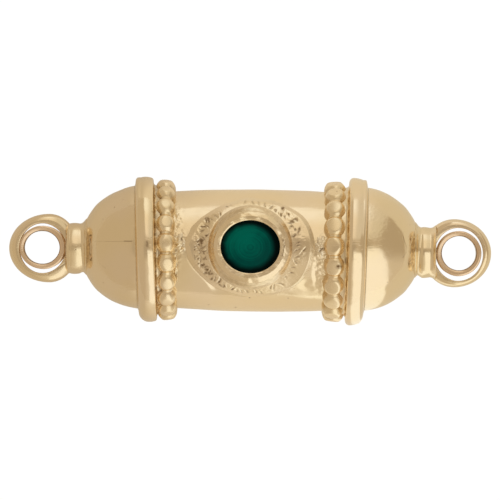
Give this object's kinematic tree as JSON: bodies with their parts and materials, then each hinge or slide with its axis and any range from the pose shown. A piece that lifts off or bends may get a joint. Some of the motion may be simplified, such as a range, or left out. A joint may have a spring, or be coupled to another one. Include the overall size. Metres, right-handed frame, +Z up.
{
  "type": "jewellery connector bead",
  "caption": "Gold tube connector bead with domed, beaded ends, an eyelet at each end and a round green cabochon in a bezel cup on its side.",
  "frame": {"origin": "on the surface that the bead lies on, under the middle of the bead", "axes": "+X along the bead to its right eyelet, +Z up through the stone, +Y across the bead"},
  "size_m": [0.03, 0.0092, 0.0092],
  "materials": {
    "gold": "polished yellow gold, worn and pitted",
    "rosy_gold": "polished yellow gold, a little rosier at the solder",
    "green_stone": "polished, deep green"
  },
  "bodies": {
    "root": {"barrel": "gold", "bezel_cup": "gold", "stone": "green_stone", "beaded_ring_left": "gold", "beaded_ring_right": "gold", "end_cap_left": "gold", "end_cap_right": "gold", "eyelet_left": "rosy_gold", "eyelet_right": "rosy_gold"}
  },
  "joints": []
}
